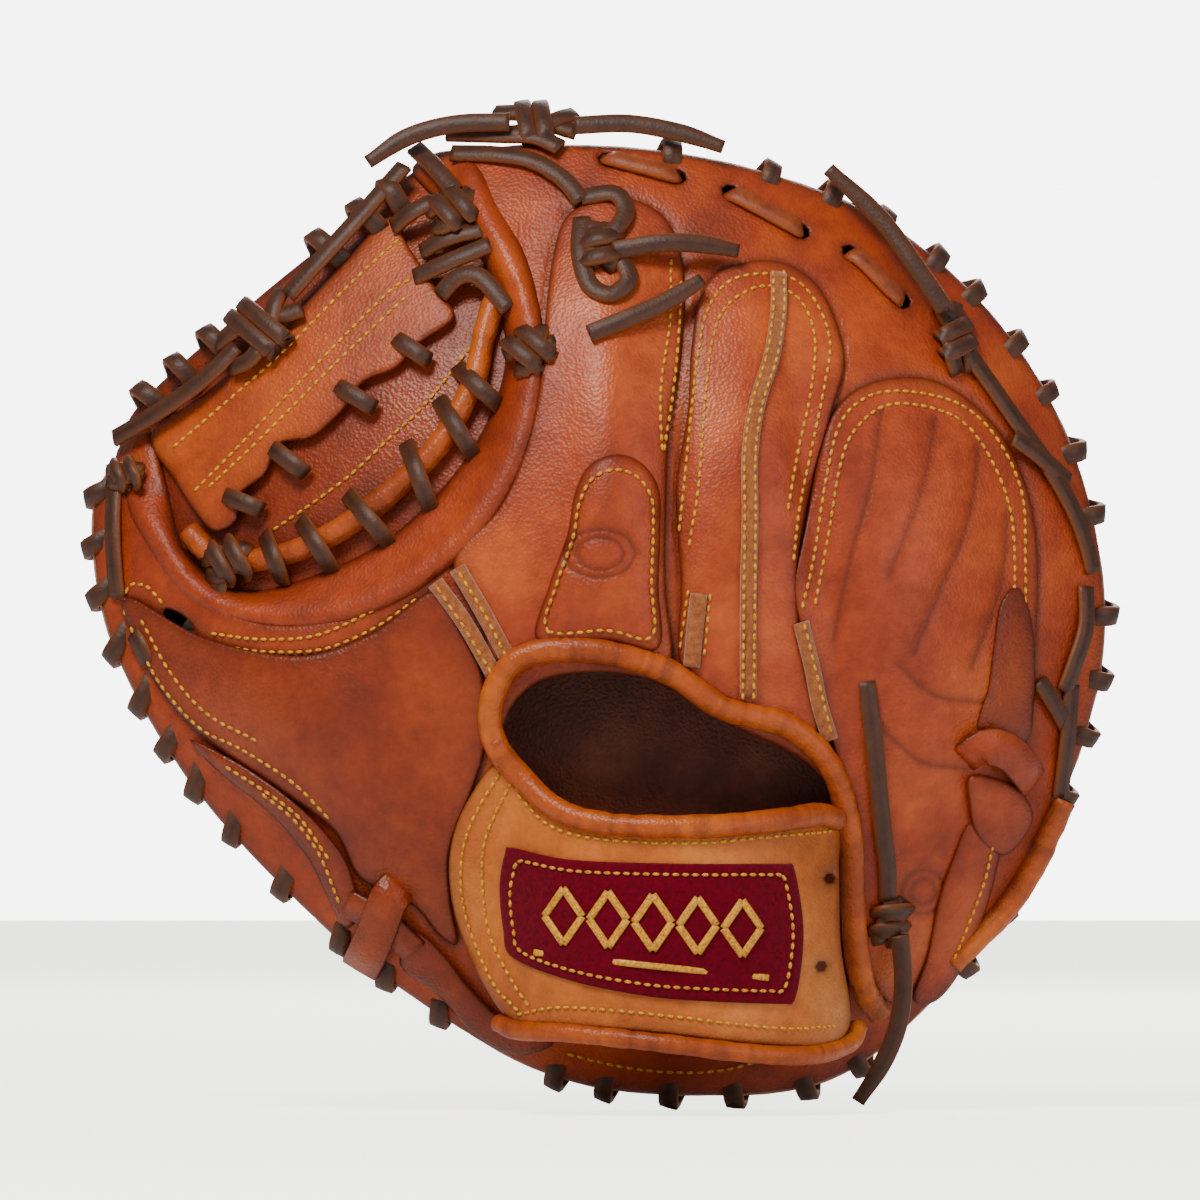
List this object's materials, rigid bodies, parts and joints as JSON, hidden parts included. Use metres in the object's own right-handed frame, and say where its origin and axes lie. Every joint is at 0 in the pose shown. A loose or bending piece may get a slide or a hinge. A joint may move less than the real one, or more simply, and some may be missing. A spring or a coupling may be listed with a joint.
{
  "type": "catcher's mitt",
  "caption": "Padded leather catcher's mitt: domed paneled back, laced edge, two-piece web, wrist strap and a deep round pocket on the palm side.",
  "frame": {"origin": "middle of the mouth that the wrist goes through, under the wrist strap", "axes": "+Z to the finger tops, +X away from the thumb, +Y out of the pocket; the hand leaves along -Z"},
  "size_m": [0.2797, 0.0965, 0.2778],
  "materials": {
    "leather": "oiled steerhide, satin",
    "binding": "soft tan binding leather, satin",
    "lace": "dark rawhide lace with paler cut edges",
    "suede": "split leather, raw nap",
    "lining": "thin matt lining leather",
    "padding": "pressed felt stuffing",
    "felt": "wool felt, matt"
  },
  "bodies": {
    "finger_side": {"finger_back_band": "leather", "index_panel": "leather", "middle_ring_panel": "leather", "pinky_panel": "leather", "thumb_gusset": "leather", "heel_facing": "leather", "index_pad": "leather", "finger_welt": "suede", "short_welts": "suede", "opening_binding": "binding", "finger_lining": "lining", "finger_edge_welt": "leather", "finger_palm_leather": "leather", "finger_pad": "padding", "heel_pad": "padding", "palm_liner": "lining", "wrist_strap": "binding", "strap_top_roll": "binding", "strap_bottom_roll": "binding", "strap_patch": "felt", "finger_edge_lacing": "lace", "heel_lacing": "lace", "top_slot_lacing": "lace", "side_lace": "lace", "side_lace_knot": "lace", "wrist_lace": "lace", "wrist_lace_knot": "lace", "crotch_tie_lace": "lace", "top_lace_knot": "lace", "crotch_lace_knot": "lace", "index_lace_knot": "lace", "pinky_strap": "leather", "pinky_strap_knot": "leather", "top_lace_end_left": "lace", "top_lace_end_right": "lace", "crotch_lace_end": "lace", "index_lace_end": "lace", "side_lace_end": "lace", "wrist_lace_end": "lace"},
    "thumb_side": {"thumb_panel": "leather", "thumb_edge_welt": "leather", "thumb_palm_leather": "leather", "thumb_pad": "padding", "thumb_edge_lacing": "lace", "thumb_side_lace": "lace", "thumb_strap": "leather", "thumb_strap_knot": "leather"},
    "web": {"web_collar": "leather", "web_lower_panel": "leather", "web_binding_roll": "binding", "web_upper_panel": "leather", "web_slot_lacing": "lace", "web_roll_lacing": "lace", "web_edge_lacing": "lace", "web_edge_knot": "leather", "web_tie_knot": "leather", "web_lace_knot": "lace"}
  },
  "joints": [
    {"name": "thumb_close", "type": "hinge", "parent": "finger_side", "child": "thumb_side", "pos_m": [-0.062, 0.004, -0.002], "axis": [0.2327, 0, -0.9726], "range_deg": [-4, 14], "stiffness_Nm_per_rad": 1.2},
    {"name": "web_fold", "type": "hinge", "parent": "finger_side", "child": "web", "pos_m": [-0.062, 0.004, -0.002], "axis": [0.2327, 0, -0.9726], "range_deg": [-2.2, 7.2]}
  ],
  "couplings": [
    {"joint": "web_fold", "follows": "thumb_close", "ratio": 0.5}
  ]
}
